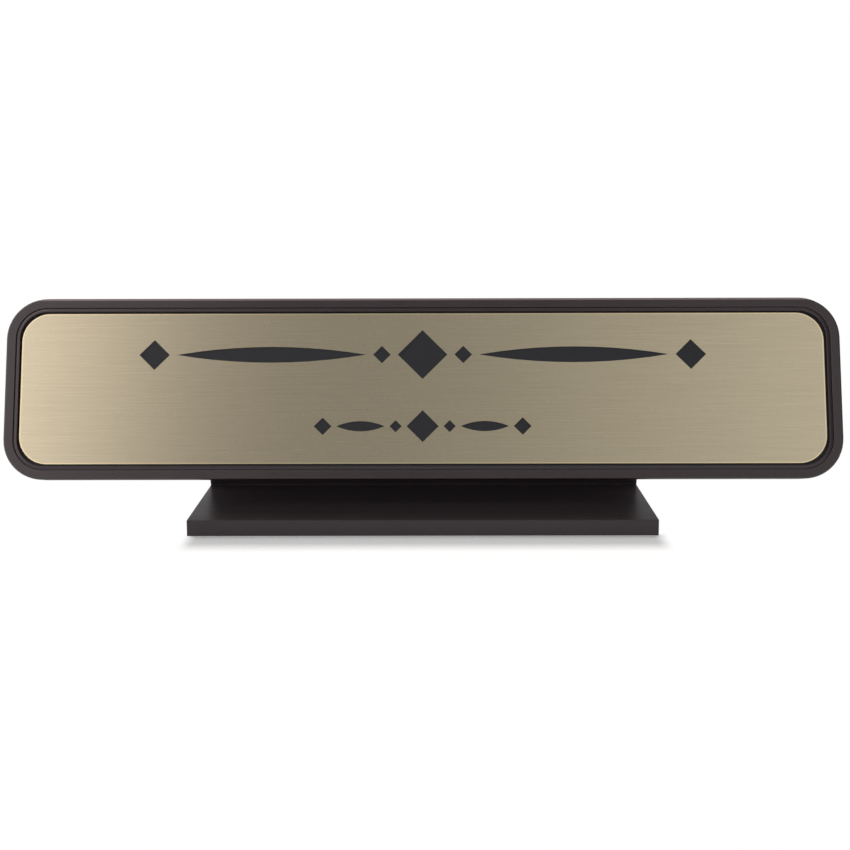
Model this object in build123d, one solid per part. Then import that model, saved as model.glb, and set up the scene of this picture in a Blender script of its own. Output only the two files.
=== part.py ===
from build123d import *
import os
from math import cos, floor, radians, sin, tan

# A desk name plate. A moulded frame with rounded corners holds an engraved insert behind a snap-in bead,
# and two screws fix the frame to a stand: a flat foot, a strut and a flange along the back of the frame.
# Lengths are in millimetres. +X is the reader's right, +Z is up, and the plate faces -Y.
# The origin is on the desk, under the middle of the foot.

# Insert: engraving laminate, 10 by 2 inches and a sixteenth thick, a thin gold face on a black core
INSERT_LENGTH = 254.0
INSERT_HEIGHT = 50.8
FACE_THICKNESS = 0.15
CORE_THICKNESS = 1.45
ENGRAVING_INTO_CORE = 0.15
FACE_CORNER_RADIUS = 8.7
REBATE_DEPTH = 0.7
REBATE_GAP = 0.56

# Adhesive strips that hold the insert to the floor of the frame
TAPE_WIDTH = 12.7
TAPE_THICKNESS = 0.25
TAPE_EDGE_MARGIN = 5.0
TAPE_END_MARGIN = 12.0

# Frame: a flat front band, a pocket for the insert, a floor, and a hollow back with ribs and bosses
BAND_WIDTH = 3.0
FRAME_THICKNESS = 7.9375
FRAME_CORNER_RADIUS = 12.7
SIDE_DRAFT_ANGLE = 5.0
FRONT_EDGE_RADIUS = 0.45
BACK_EDGE_RADIUS = 0.4
BAND_INNER_CHAMFER = 0.1
INSERT_CLEARANCE = 0.175
INSERT_LEFT_OF_MIDDLE = 0.09
INSERT_ABOVE_MIDDLE = 0.1
FACE_SETBACK = 0.9
FLOOR_THICKNESS = 1.9
RIB_PITCH = 25.4
RIB_THICKNESS = 1.6
BOSS_DIAMETER = 7.0

# Retaining bead: a strip with its crest beside the insert and a gentle slope down to a narrow groove at
# the band. It has a wider base, with a rib that snaps into the wall of the frame.
BEAD_WIDTH = 1.1
BEAD_CREST_BELOW_BAND = 0.1
BEAD_SLOPE_WIDTH = 0.75
BEAD_SLOPE_DROP = 0.22
BEAD_INNER_RADIUS = 0.12
BEAD_GROOVE_WIDTH = 0.2
BEAD_BASE_HEIGHT = 1.0
BEAD_WALL_CLEARANCE = 0.05
BEAD_RIB_REACH = 0.3
BEAD_RIB_HEIGHT = 0.4
BEAD_RIB_CLEARANCE = 0.05
BEAD_SEAM_GAP = 0.12
BEAD_SEAM_FROM_CORNER = 1.4

# Engraving: two centred rows of a plain printer's ornament, lozenges joined by swelled rules
UPPER_ROW_SIDE_MARGIN = 36.8
UPPER_ROW_ABOVE_MIDDLE = 10.6
UPPER_LOZENGE = 15.5
UPPER_ACCENT_LOZENGE = 5.5
UPPER_END_LOZENGE = 9.5
UPPER_RULE_THICKNESS = 5.0
UPPER_MOTIF_GAP = 2.2
LOWER_ROW_SIDE_MARGIN = 91.5
LOWER_ROW_BELOW_MIDDLE = 12.0
LOWER_LOZENGE = 10.0
LOWER_ACCENT_LOZENGE = 3.8
LOWER_END_LOZENGE = 5.5
LOWER_RULE_THICKNESS = 3.2
LOWER_MOTIF_GAP = 1.5

# Stand: one profile, cut to length. From the back of the foot a strut leans forward to the frame,
# and a flange goes on up the back of the frame. The top of the foot, in front of the strut, is the deck.
STAND_WIDTH = 139.7
STAND_THICKNESS = 4.7625
DECK_DEPTH = 53.0
STRUT_ANGLE = 30.0
FLANGE_LENGTH = 25.4
LEAN_ANGLE = 17.25
SIGN_BEHIND_FOOT_FRONT = 22.0
SIGN_ABOVE_DECK = 8.0
FOOT_EDGE_RADIUS = 0.3
FOOT_BACK_RADIUS = 2.4
DECK_CORNER_RADIUS = 0.4
FLANGE_BEND_RADIUS = 1.5
FLANGE_TOP_RADIUS = 0.8

# Screws: pan-head self-tappers, driven from the back of the flange into the bosses of the frame
SCREW_SPACING_IN_RIBS = 3
SCREW_HEAD_DIAMETER = 5.6
SCREW_HEAD_HEIGHT = 1.7
SCREW_HEAD_CROWN = 0.9
SCREW_HEAD_CLEARANCE = 0.4
SCREW_HEAD_SUNK = 0.3
SCREW_DRIVE_LENGTH = 3.0
SCREW_DRIVE_WIDTH = 0.7
SCREW_DRIVE_DEPTH = 1.0
SCREW_SHANK_DIAMETER = 2.4
SCREW_POINT_LENGTH = 1.2
SCREW_POINT_DIAMETER = 0.6
SCREW_HOLE_CLEARANCE = 0.4
PILOT_CLEARANCE = 0.02
PILOT_END_CLEARANCE = 0.4
PILOT_SKIN = 0.9

# Rubber pads, let into the underside of the foot
PAD_DIAMETER = 12.7
PAD_THICKNESS = 1.6
PAD_PROUD = 0.4
PAD_CLEARANCE = 0.15
PAD_EDGE_RADIUS = 0.2
PAD_INSET = 11.0

# Depths below are measured back from the front of the band
POCKET_LENGTH = INSERT_LENGTH + 2 * INSERT_CLEARANCE
POCKET_HEIGHT = INSERT_HEIGHT + 2 * INSERT_CLEARANCE
POCKET_RADIUS = FRAME_CORNER_RADIUS - BAND_WIDTH
FRAME_LENGTH = POCKET_LENGTH + 2 * BAND_WIDTH
FRAME_HEIGHT = POCKET_HEIGHT + 2 * BAND_WIDTH
CORE_FRONT = FACE_SETBACK + FACE_THICKNESS
CORE_BACK = CORE_FRONT + CORE_THICKNESS
FLOOR_FRONT = CORE_BACK + TAPE_THICKNESS
FLOOR_BACK = FLOOR_FRONT + FLOOR_THICKNESS
BEAD_SEAT = FACE_SETBACK + REBATE_DEPTH
BEAD_BASE_FRONT = BEAD_SEAT - BEAD_BASE_HEIGHT
BEAD_INNER_INSET = BEAD_GROOVE_WIDTH + BEAD_WIDTH
BEAD_RIB_FRONT = BEAD_SEAT - BEAD_RIB_HEIGHT
FACE_INSET = BEAD_INNER_INSET + REBATE_GAP
FACE_LENGTH = POCKET_LENGTH - 2 * FACE_INSET
FACE_HEIGHT = POCKET_HEIGHT - 2 * FACE_INSET

# Places in the side view, from the middle of the foot
LEAN = radians(LEAN_ANGLE)
STRUT = radians(STRUT_ANGLE)
DECK_Z = PAD_PROUD + STAND_THICKNESS
FOOT_CORNER_DEPTH = DECK_DEPTH + STAND_THICKNESS * (1 + sin(STRUT)) / cos(STRUT)
FOOT_CORNER_ROUNDED_OFF = FOOT_BACK_RADIUS * (tan(radians(45) + STRUT / 2) - 1)
FOOT_DEPTH = FOOT_CORNER_DEPTH - FOOT_CORNER_ROUNDED_OFF
FOOT_FRONT_Y = -FOOT_DEPTH / 2
FOOT_CORNER_Y = FOOT_FRONT_Y + FOOT_CORNER_DEPTH
SIGN_BOTTOM_Y = FOOT_FRONT_Y + SIGN_BEHIND_FOOT_FRONT
SIGN_BOTTOM_Z = DECK_Z + SIGN_ABOVE_DECK
FLANGE_BACK = FRAME_THICKNESS + STAND_THICKNESS


def along_sign(rise, depth):
    """The (y, z) of a point, from its rise up the sign and its depth behind the front of the band."""
    y = SIGN_BOTTOM_Y + rise * sin(LEAN) + depth * cos(LEAN)
    z = SIGN_BOTTOM_Z + rise * cos(LEAN) - depth * sin(LEAN)
    return (y, z)


def bend_rise(behind):
    """How far up the sign the strut meets the flange, on faces this far behind their front faces."""
    flange_y, flange_z = along_sign(0, FRAME_THICKNESS + behind)
    strut_y = FOOT_FRONT_Y + DECK_DEPTH + behind / cos(STRUT) - (flange_z - DECK_Z) * tan(STRUT)
    return (strut_y - flange_y) / (sin(LEAN) + cos(LEAN) * tan(STRUT))


# Screws sit midway between two ribs and halfway up the flange, from the middle of the sign
FLANGE_TOP = bend_rise(0) + FLANGE_LENGTH
SCREW_X = SCREW_SPACING_IN_RIBS * RIB_PITCH / 2
SCREW_Y = FLANGE_TOP - FLANGE_LENGTH / 2 - FRAME_HEIGHT / 2
SCREW_SEAT = FLANGE_BACK - SCREW_HEAD_HEIGHT - SCREW_HEAD_SUNK
PILOT_END = FLOOR_FRONT + PILOT_SKIN
SCREW_TIP = PILOT_END + PILOT_END_CLEARANCE


def sign_location():
    """Places what is drawn flat and facing +Z, with the middle of the band's front at the origin."""
    y, z = along_sign(FRAME_HEIGHT / 2, 0)
    plane = Plane(origin=(0, y, z), x_dir=(1, 0, 0), z_dir=(0, -cos(LEAN), sin(LEAN)))
    return plane.location


def rounded_slab(length, height, radius, front, back):
    """A slab with rounded corners, between two depths."""
    outline = RectangleRounded(length, height, radius)
    return Pos(0, 0, -back) * extrude(outline, amount=back - front)


def slab(inset, front, back):
    """A slab that keeps the outline of the pocket, drawn in by inset, between two depths."""
    length = POCKET_LENGTH - 2 * inset
    height = POCKET_HEIGHT - 2 * inset
    return rounded_slab(length, height, POCKET_RADIUS - inset, front, back)


def face_slab(front, back):
    """A slab with the outline of the gold face, between two depths."""
    return rounded_slab(FACE_LENGTH, FACE_HEIGHT, FACE_CORNER_RADIUS, front, back)


def rod(diameter, front, back):
    """A round bar square to the sign, between two depths."""
    middle = -(front + back) / 2
    return Pos(0, 0, middle) * Cylinder(diameter / 2, back - front)


def lozenge(size):
    """A square stood on its corner, size from tip to tip."""
    half = size / 2
    return Polygon((half, 0), (0, half), (-half, 0), (0, -half))


def swelled_rule(length, thickness):
    """A line that tapers from its middle to a point at each end."""
    start = (-length / 2, 0)
    end = (length / 2, 0)
    upper = ThreePointArc(end, (0, thickness / 2), start)
    lower = ThreePointArc(start, (0, -thickness / 2), end)
    return make_face([upper.edge(), lower.edge()])


def ornament_row(length, middle_size, accent_size, end_size, rule_thickness, gap):
    """From the middle to both ends: a lozenge, a small accent, a swelled rule and an end lozenge."""
    accent_x = middle_size / 2 + gap + accent_size / 2
    rule_start = accent_x + accent_size / 2 + gap
    rule_end = length / 2 - end_size - gap
    rule = swelled_rule(rule_end - rule_start, rule_thickness)
    row = Sketch() + lozenge(middle_size)
    for side in (-1, 1):
        row += Pos(side * accent_x, 0) * lozenge(accent_size)
        row += Pos(side * (rule_start + rule_end) / 2, 0) * rule
        row += Pos(side * (length - end_size) / 2, 0) * lozenge(end_size)
    return row


def engraving(front, back):
    """The engraved ornament as a cutter between two depths."""
    upper = ornament_row(
        FACE_LENGTH - 2 * UPPER_ROW_SIDE_MARGIN,
        UPPER_LOZENGE,
        UPPER_ACCENT_LOZENGE,
        UPPER_END_LOZENGE,
        UPPER_RULE_THICKNESS,
        UPPER_MOTIF_GAP,
    )
    lower = ornament_row(
        FACE_LENGTH - 2 * LOWER_ROW_SIDE_MARGIN,
        LOWER_LOZENGE,
        LOWER_ACCENT_LOZENGE,
        LOWER_END_LOZENGE,
        LOWER_RULE_THICKNESS,
        LOWER_MOTIF_GAP,
    )
    rows = Pos(0, UPPER_ROW_ABOVE_MIDDLE) * upper + Pos(0, -LOWER_ROW_BELOW_MIDDLE) * lower
    return Pos(0, 0, -back) * extrude(rows, amount=back - front)


def make_frame():
    outline = RectangleRounded(FRAME_LENGTH, FRAME_HEIGHT, FRAME_CORNER_RADIUS)
    body = extrude(outline, amount=FRAME_THICKNESS, dir=(0, 0, -1), taper=SIDE_DRAFT_ANGLE)
    body -= slab(0, 0, FLOOR_FRONT)
    front = body.faces().sort_by(Axis.Z)[-1]
    body = chamfer(front.inner_wires()[0].edges(), BAND_INNER_CHAMFER)
    front = body.faces().sort_by(Axis.Z)[-1]
    body = fillet(front.outer_wire().edges(), FRONT_EDGE_RADIUS)
    back = body.faces().sort_by(Axis.Z)[0]
    body = fillet(back.outer_wire().edges(), BACK_EDGE_RADIUS)

    rib_groove_reach = BEAD_RIB_REACH + BEAD_RIB_CLEARANCE
    body -= slab(
        -rib_groove_reach,
        BEAD_RIB_FRONT - BEAD_RIB_CLEARANCE,
        BEAD_SEAT + BEAD_RIB_CLEARANCE,
    )

    hollow_depth = FRAME_THICKNESS - FLOOR_BACK
    hollow = slab(0, FLOOR_BACK, FRAME_THICKNESS)
    rib = Pos(0, 0, -FLOOR_BACK - hollow_depth / 2) * Box(RIB_THICKNESS, POCKET_HEIGHT, hollow_depth)
    ribs_each_side = floor((POCKET_LENGTH / 2 - POCKET_RADIUS) / RIB_PITCH)
    for index in range(-ribs_each_side, ribs_each_side + 1):
        hollow -= Pos(index * RIB_PITCH, 0, 0) * rib
    for side in (-1, 1):
        hollow -= Pos(side * SCREW_X, SCREW_Y, 0) * rod(BOSS_DIAMETER, FLOOR_BACK, FRAME_THICKNESS)
    body -= hollow

    pilot = rod(SCREW_SHANK_DIAMETER + 2 * PILOT_CLEARANCE, PILOT_END, FRAME_THICKNESS)
    for side in (-1, 1):
        body -= Pos(side * SCREW_X, SCREW_Y, 0) * pilot
    return body


def make_bead():
    strip = slab(BEAD_GROOVE_WIDTH, BEAD_CREST_BELOW_BAND, BEAD_SEAT)
    strip -= slab(BEAD_INNER_INSET, BEAD_CREST_BELOW_BAND, BEAD_SEAT)
    crest = strip.faces().sort_by(Axis.Z)[-1]
    strip = chamfer(crest.outer_wire().edges(), BEAD_SLOPE_WIDTH, BEAD_SLOPE_DROP, reference=crest)
    crest = strip.faces().sort_by(Axis.Z)[-1]
    strip = fillet(crest.inner_wires()[0].edges(), BEAD_INNER_RADIUS)
    base_inset = BEAD_GROOVE_WIDTH + BEAD_WIDTH / 2
    base = slab(BEAD_WALL_CLEARANCE, BEAD_BASE_FRONT, BEAD_SEAT)
    base += slab(-BEAD_RIB_REACH, BEAD_RIB_FRONT, BEAD_SEAT)
    strip += base - slab(base_inset, BEAD_BASE_FRONT, BEAD_SEAT)
    seam_x = POCKET_LENGTH / 2 - POCKET_RADIUS - BEAD_SEAM_FROM_CORNER
    seam_y = POCKET_HEIGHT / 2
    seam = Box(BEAD_SEAM_GAP, 4 * BEAD_INNER_INSET, 4 * BEAD_SEAT)
    return strip - Pos(seam_x, seam_y, 0) * seam


def in_pocket(shape):
    """Moves a piece of the insert to where it lies in the pocket, a little off the middle."""
    return Pos(-INSERT_LEFT_OF_MIDDLE, INSERT_ABOVE_MIDDLE, 0) * shape


def make_insert_face():
    face = face_slab(FACE_SETBACK, CORE_FRONT)
    return in_pocket(face - engraving(FACE_SETBACK, CORE_FRONT))


def make_insert_core():
    core = slab(INSERT_CLEARANCE, BEAD_SEAT, CORE_BACK) + face_slab(CORE_FRONT, BEAD_SEAT)
    return in_pocket(core - engraving(CORE_FRONT, CORE_FRONT + ENGRAVING_INTO_CORE))


def make_insert_tape(side):
    length = INSERT_LENGTH - 2 * TAPE_END_MARGIN
    y = side * (INSERT_HEIGHT / 2 - TAPE_EDGE_MARGIN - TAPE_WIDTH / 2)
    z = -(CORE_BACK + FLOOR_FRONT) / 2
    return in_pocket(Pos(0, y, z) * Box(length, TAPE_WIDTH, TAPE_THICKNESS))


def make_stand():
    corners = [
        (FOOT_FRONT_Y, PAD_PROUD),
        (FOOT_FRONT_Y, DECK_Z),
        (FOOT_FRONT_Y + DECK_DEPTH, DECK_Z),
        along_sign(bend_rise(0), FRAME_THICKNESS),
        along_sign(FLANGE_TOP, FRAME_THICKNESS),
        along_sign(FLANGE_TOP, FLANGE_BACK),
        along_sign(bend_rise(STAND_THICKNESS), FLANGE_BACK),
        (FOOT_CORNER_Y, PAD_PROUD),
    ]
    radii = [
        FOOT_EDGE_RADIUS,
        FOOT_EDGE_RADIUS,
        DECK_CORNER_RADIUS,
        FLANGE_BEND_RADIUS,
        FLANGE_TOP_RADIUS,
        FLANGE_TOP_RADIUS,
        FLANGE_BEND_RADIUS,
        FOOT_BACK_RADIUS,
    ]
    profile = make_face(FilletPolyline(*corners, radius=radii, close=True))
    stand = extrude(Plane.YZ * profile, amount=STAND_WIDTH / 2, both=True)

    screw_hole = rod(SCREW_SHANK_DIAMETER + 2 * SCREW_HOLE_CLEARANCE, FRAME_THICKNESS, FLANGE_BACK)
    screw_hole += rod(SCREW_HEAD_DIAMETER + 2 * SCREW_HEAD_CLEARANCE, SCREW_SEAT, FLANGE_BACK)
    for side in (-1, 1):
        stand -= sign_location() * (Pos(side * SCREW_X, SCREW_Y, 0) * screw_hole)

    recess = Pos(0, 0, PAD_THICKNESS / 2) * Cylinder(PAD_DIAMETER / 2 + PAD_CLEARANCE, PAD_THICKNESS)
    for x, y in pad_places().values():
        stand -= Pos(x, y, 0) * recess
    return stand


def make_screw(side):
    head = rod(SCREW_HEAD_DIAMETER, SCREW_SEAT, SCREW_SEAT + SCREW_HEAD_HEIGHT)
    head = fillet(head.edges().sort_by(Axis.Z)[0], SCREW_HEAD_CROWN)
    slot_z = -(SCREW_SEAT + SCREW_HEAD_HEIGHT - SCREW_DRIVE_DEPTH / 2)
    for length, width in (
        (SCREW_DRIVE_LENGTH, SCREW_DRIVE_WIDTH),
        (SCREW_DRIVE_WIDTH, SCREW_DRIVE_LENGTH),
    ):
        head -= Pos(0, 0, slot_z) * Box(length, width, SCREW_DRIVE_DEPTH)
    shank = rod(SCREW_SHANK_DIAMETER, SCREW_TIP + SCREW_POINT_LENGTH, SCREW_SEAT)
    point = Pos(0, 0, -SCREW_TIP - SCREW_POINT_LENGTH / 2) * Cone(
        SCREW_SHANK_DIAMETER / 2,
        SCREW_POINT_DIAMETER / 2,
        SCREW_POINT_LENGTH,
    )
    return Pos(side * SCREW_X, SCREW_Y, 0) * (head + shank + point)


def pad_places():
    """The name and (x, y) of each pad."""
    x = STAND_WIDTH / 2 - PAD_INSET
    y = FOOT_DEPTH / 2 - PAD_INSET
    return {
        "foot_pad_front_left": (-x, -y),
        "foot_pad_front_right": (x, -y),
        "foot_pad_rear_left": (-x, y),
        "foot_pad_rear_right": (x, y),
    }


def make_pad(x, y):
    pad = Pos(x, y, PAD_THICKNESS / 2) * Cylinder(PAD_DIAMETER / 2, PAD_THICKNESS)
    return fillet(pad.edges().sort_by(Axis.Z)[0], PAD_EDGE_RADIUS)


on_sign = {
    "frame": make_frame(),
    "retaining_bead": make_bead(),
    "insert_face": make_insert_face(),
    "insert_core": make_insert_core(),
    "insert_tape_upper": make_insert_tape(1),
    "insert_tape_lower": make_insert_tape(-1),
    "bracket_screw_left": make_screw(-1),
    "bracket_screw_right": make_screw(1),
}
nodes = {name: sign_location() * shape for name, shape in on_sign.items()}
nodes["desk_bracket"] = make_stand()
for pad_name, (pad_x, pad_y) in pad_places().items():
    nodes[pad_name] = make_pad(pad_x, pad_y)

os.makedirs("parts", exist_ok=True)
for node_name, solid in nodes.items():
    export_step(solid, f"parts/{node_name}.step")
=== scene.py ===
# %% [markdown]
# A desk name plate. A black moulded frame with round corners holds a brushed gold insert, a thin black bead
# covers the insert's edge, and the whole sign leans back on a black stand with a wide flat foot. The solids
# come from a CAD model and stay exactly where they are. This lesson gives them their finishes, and builds
# again, with more detail, the few pieces that a path or a repeat describes better.

import math

import bpy
from mathutils import Matrix, Vector


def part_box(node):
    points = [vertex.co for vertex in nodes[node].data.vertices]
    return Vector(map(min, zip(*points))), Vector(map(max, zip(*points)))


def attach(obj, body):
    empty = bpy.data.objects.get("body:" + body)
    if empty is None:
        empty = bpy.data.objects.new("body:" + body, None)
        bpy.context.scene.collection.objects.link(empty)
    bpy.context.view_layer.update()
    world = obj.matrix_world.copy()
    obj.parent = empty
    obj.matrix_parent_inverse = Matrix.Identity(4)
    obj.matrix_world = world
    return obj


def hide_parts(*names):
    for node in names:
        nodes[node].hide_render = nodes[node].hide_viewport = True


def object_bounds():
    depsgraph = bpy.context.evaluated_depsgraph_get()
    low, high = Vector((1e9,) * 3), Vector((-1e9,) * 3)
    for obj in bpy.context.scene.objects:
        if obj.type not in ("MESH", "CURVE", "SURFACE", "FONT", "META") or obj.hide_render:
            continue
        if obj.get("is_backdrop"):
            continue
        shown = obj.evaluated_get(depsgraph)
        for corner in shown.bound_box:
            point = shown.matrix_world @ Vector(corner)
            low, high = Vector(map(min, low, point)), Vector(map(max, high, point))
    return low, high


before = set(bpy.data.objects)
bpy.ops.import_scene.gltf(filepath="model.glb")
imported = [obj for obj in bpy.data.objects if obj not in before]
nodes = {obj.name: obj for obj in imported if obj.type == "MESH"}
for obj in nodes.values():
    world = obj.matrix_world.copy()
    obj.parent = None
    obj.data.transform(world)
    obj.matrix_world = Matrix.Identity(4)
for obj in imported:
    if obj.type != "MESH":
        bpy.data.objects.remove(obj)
cad_low, cad_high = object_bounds()
MM = 0.001
print("CAD nodes:", ", ".join(sorted(nodes)))
print("CAD box in mm:", [round(side / MM, 2) for side in cad_high - cad_low])

# %% [markdown]
# The sign leans back, so anything drawn on it is easier in the sign's own axes: X along the plate, Y up the
# plate and Z out of it towards the reader. The lean could be typed in as a number. Here it is read from the
# gold face, whose largest polygon is its flat front, so the lesson still fits if the CAD model leans by
# another angle.

# %% The sign's own axes
front_polygon = max(
    (polygon for polygon in nodes["insert_face"].data.polygons if polygon.normal.y < 0),
    key=lambda polygon: polygon.area,
)
sign_normal = front_polygon.normal.normalized()
sign_right = Vector((1, 0, 0))
sign_up = sign_normal.cross(sign_right)
sign_turn = Matrix((sign_right, sign_up, sign_normal)).transposed()


def sign_box(node):
    """The lowest and highest corner of a CAD node, in the sign's own axes."""
    places = [sign_turn.transposed() @ vertex.co for vertex in nodes[node].data.vertices]
    low = Vector([min(place[axis] for place in places) for axis in range(3)])
    high = Vector([max(place[axis] for place in places) for axis in range(3)])
    return low, high


lean = math.degrees(math.atan2(sign_normal.z, -sign_normal.y))
print(f"The sign leans back by {lean:.2f} degrees")

# %% [markdown]
# Node trees are easier to read when each node takes one call. The first helper adds a node, sets its options
# and fills its sockets: a plain value is written into the socket, and another node's output is linked to it.
# The others give the output that is wanted most often, and the last one opens a group with named inputs and
# outputs.

# %% Helpers for node trees
VECTOR, NUMBER, COUNT = "NodeSocketVector", "NodeSocketFloat", "NodeSocketInt"
GEOMETRY, MATERIAL = "NodeSocketGeometry", "NodeSocketMaterial"


def add_node(tree, kind, sockets=None, **options):
    """A new node with its options set and its sockets, by name or number, filled or linked."""
    node = tree.nodes.new(kind)
    for option, value in options.items():
        setattr(node, option, value)
    for key, value in (sockets or {}).items():
        socket = node.inputs[key]
        if isinstance(value, bpy.types.NodeSocket):
            tree.links.new(value, socket)
        else:
            socket.default_value = value
    return node


def made(tree, kind, sockets=None, **options):
    """The first output of a new node."""
    return add_node(tree, kind, sockets, **options).outputs[0]


def maths(tree, operation, first, second=0.0, third=0.0):
    """The output of a Math node."""
    return made(tree, "ShaderNodeMath", {0: first, 1: second, 2: third}, operation=operation)


def vector_of(tree, **sides):
    """A vector made from its X, Y and Z. What isn't given is zero."""
    return made(tree, "ShaderNodeCombineXYZ", sides)


def axes_of(tree, vector):
    """The X, Y and Z of a vector, by name."""
    return add_node(tree, "ShaderNodeSeparateXYZ", {0: vector}).outputs


def spread(tree, value, low, high, from_low=0.3, from_high=0.7):
    """A value spread over a range of numbers. Most noise lies between 0.3 and 0.7."""
    return made(
        tree, "ShaderNodeMapRange",
        {"Value": value, "From Min": from_low, "From Max": from_high, "To Min": low, "To Max": high},
    )


def new_group(name, kind, inputs, outputs):
    """A node group. An input is given by its socket type or by a number, and an output by its type."""
    group = bpy.data.node_groups.new(name, kind)
    for title, given in inputs.items():
        is_type = isinstance(given, str)
        socket_type = given if is_type else NUMBER
        socket = group.interface.new_socket(name=title, in_out="INPUT", socket_type=socket_type)
        if not is_type:
            socket.default_value = given
    for title, socket_type in outputs.items():
        group.interface.new_socket(name=title, in_out="OUTPUT", socket_type=socket_type)
    entry = group.nodes.new("NodeGroupInput").outputs
    exit_node = group.nodes.new("NodeGroupOutput")
    return group, entry, exit_node.inputs


print("Node helpers are ready")

# %% [markdown]
# Moulded plastic is never a perfect mirror: the tool's surface leaves a fine skin of pebbles, and the gloss
# drifts a little from place to place. Both are plain noise at two sizes. They are wanted on the frame, the
# bead, the stand and the pads, so they are made once, as a group that each material places with its own
# sizes.

# %% Shader group: moulded skin
moulded_skin, entry, exit_sockets = new_group(
    "Moulded skin", "ShaderNodeTree",
    {"Vector": VECTOR, "Pebble Size": 0.3 * MM, "Patch Size": 20 * MM},
    {"Pebbles": NUMBER, "Patches": NUMBER},
)
for size, output, detail, roughness in (
    ("Pebble Size", "Pebbles", 2.0, 0.5), ("Patch Size", "Patches", 3.0, 0.55),
):
    scale = maths(moulded_skin, "DIVIDE", 1.0, entry[size])
    noise = add_node(
        moulded_skin, "ShaderNodeTexNoise",
        {"Vector": entry["Vector"], "Scale": scale, "Detail": detail, "Roughness": roughness},
    )
    moulded_skin.links.new(noise.outputs["Fac"], exit_sockets[output])
print("Group made:", moulded_skin.name)

# %% [markdown]
# Two finishes on this object are drawn out in one direction: the brushing on the gold face and the faint
# die lines on the extruded stand. Both are noise that is stretched along X: the coordinates are divided by
# a long length along the line and by a small width across it. A coarser set of the same lines gathers them
# into bands.

# %% Shader group: drawn lines
drawn_lines, entry, exit_sockets = new_group(
    "Drawn lines", "ShaderNodeTree",
    {"Vector": VECTOR, "Line Width": 0.1 * MM, "Line Length": 20 * MM, "Band Width": 1.0 * MM},
    {"Lines": NUMBER, "Bands": NUMBER},
)
for width, output in (("Line Width", "Lines"), ("Band Width", "Bands")):
    size = vector_of(drawn_lines, X=entry["Line Length"], Y=entry[width], Z=entry[width])
    stretched = made(drawn_lines, "ShaderNodeVectorMath", {0: entry["Vector"], 1: size}, operation="DIVIDE")
    noise = add_node(
        drawn_lines, "ShaderNodeTexNoise",
        {"Vector": stretched, "Scale": 1.0, "Detail": 2.0, "Roughness": 0.6},
    )
    drawn_lines.links.new(noise.outputs["Fac"], exit_sockets[output])
print("Group made:", drawn_lines.name)

# %% [markdown]
# No real edge is perfectly sharp. The Bevel node looks a short way along the surface and returns a normal
# that turns smoothly round an edge, so even a square cut catches a thin line of light. Where that normal
# differs from the plain one there is an edge, and this difference is also the mask for handling wear.

# %% Shader group: soft edges
soft_edges, entry, exit_sockets = new_group(
    "Soft edges", "ShaderNodeTree", {"Radius": 0.2 * MM}, {"Normal": VECTOR, "Edge": NUMBER}
)
rounded = made(soft_edges, "ShaderNodeBevel", {"Radius": entry["Radius"]}, samples=6)
plain = add_node(soft_edges, "ShaderNodeNewGeometry").outputs["Normal"]
along = add_node(soft_edges, "ShaderNodeVectorMath", {0: rounded, 1: plain}, operation="DOT_PRODUCT")
edge = spread(soft_edges, along.outputs["Value"], 0.0, 1.0, 0.99, 0.80)
soft_edges.links.new(rounded, exit_sockets["Normal"])
soft_edges.links.new(edge, exit_sockets["Edge"])
print("Group made:", soft_edges.name)

# %% [markdown]
# A thing that stands on a desk gathers a little lint on every face that looks up. The mask is the upward
# part of the surface's normal times a field of small specks, so upright faces stay clean.

# %% Shader group: settled dust
settled_dust, entry, exit_sockets = new_group(
    "Settled dust", "ShaderNodeTree",
    {"Vector": VECTOR, "Speck Size": 0.8 * MM, "Cover": 0.3}, {"Dust": NUMBER},
)
scale = maths(settled_dust, "DIVIDE", 1.0, entry["Speck Size"])
specks = add_node(
    settled_dust, "ShaderNodeTexVoronoi", {"Vector": entry["Vector"], "Scale": scale}, feature="F1"
).outputs
near_speck = spread(settled_dust, specks["Distance"], 1.0, 0.0, 0.05, 0.16)
chosen = made(settled_dust, "ShaderNodeSeparateColor", {0: specks["Color"]})
kept = maths(settled_dust, "LESS_THAN", chosen, entry["Cover"])
normal = add_node(settled_dust, "ShaderNodeNewGeometry").outputs["Normal"]
upward = spread(settled_dust, axes_of(settled_dust, normal)["Z"], 0.0, 1.0, 0.5, 1.0)
lying = maths(settled_dust, "MULTIPLY", near_speck, kept)
settled_dust.links.new(maths(settled_dust, "MULTIPLY", lying, upward), exit_sockets["Dust"])
print("Group made:", settled_dust.name)

# %% [markdown]
# The gold face gets a fine bright line along its outline, a painted highlight such as a narrow bevel would
# catch. To draw it, a shader has to know how far it is from the outline. For a rounded rectangle that is a
# short formula: fold the point into one quarter, shrink the rectangle to the middles of its corners, and
# take the distance to that.

# %% Shader group: inset from a rounded outline
outline_inset, entry, exit_sockets = new_group(
    "Inset from outline", "ShaderNodeTree",
    {"Vector": VECTOR, "Half Length": 100 * MM, "Half Height": 20 * MM, "Corner Radius": 8 * MM},
    {"Inset": NUMBER},
)
place = axes_of(outline_inset, entry["Vector"])
beyond = []
for axis, half_side in (("X", "Half Length"), ("Y", "Half Height")):
    folded = maths(outline_inset, "ABSOLUTE", place[axis])
    corner_middle = maths(outline_inset, "SUBTRACT", entry[half_side], entry["Corner Radius"])
    beyond.append(maths(outline_inset, "SUBTRACT", folded, corner_middle))
outside = [maths(outline_inset, "MAXIMUM", value, 0.0) for value in beyond]
corner = vector_of(outline_inset, X=outside[0], Y=outside[1])
reach = add_node(outline_inset, "ShaderNodeVectorMath", {0: corner}, operation="LENGTH").outputs["Value"]
within = maths(outline_inset, "MINIMUM", maths(outline_inset, "MAXIMUM", *beyond), 0.0)
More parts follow.
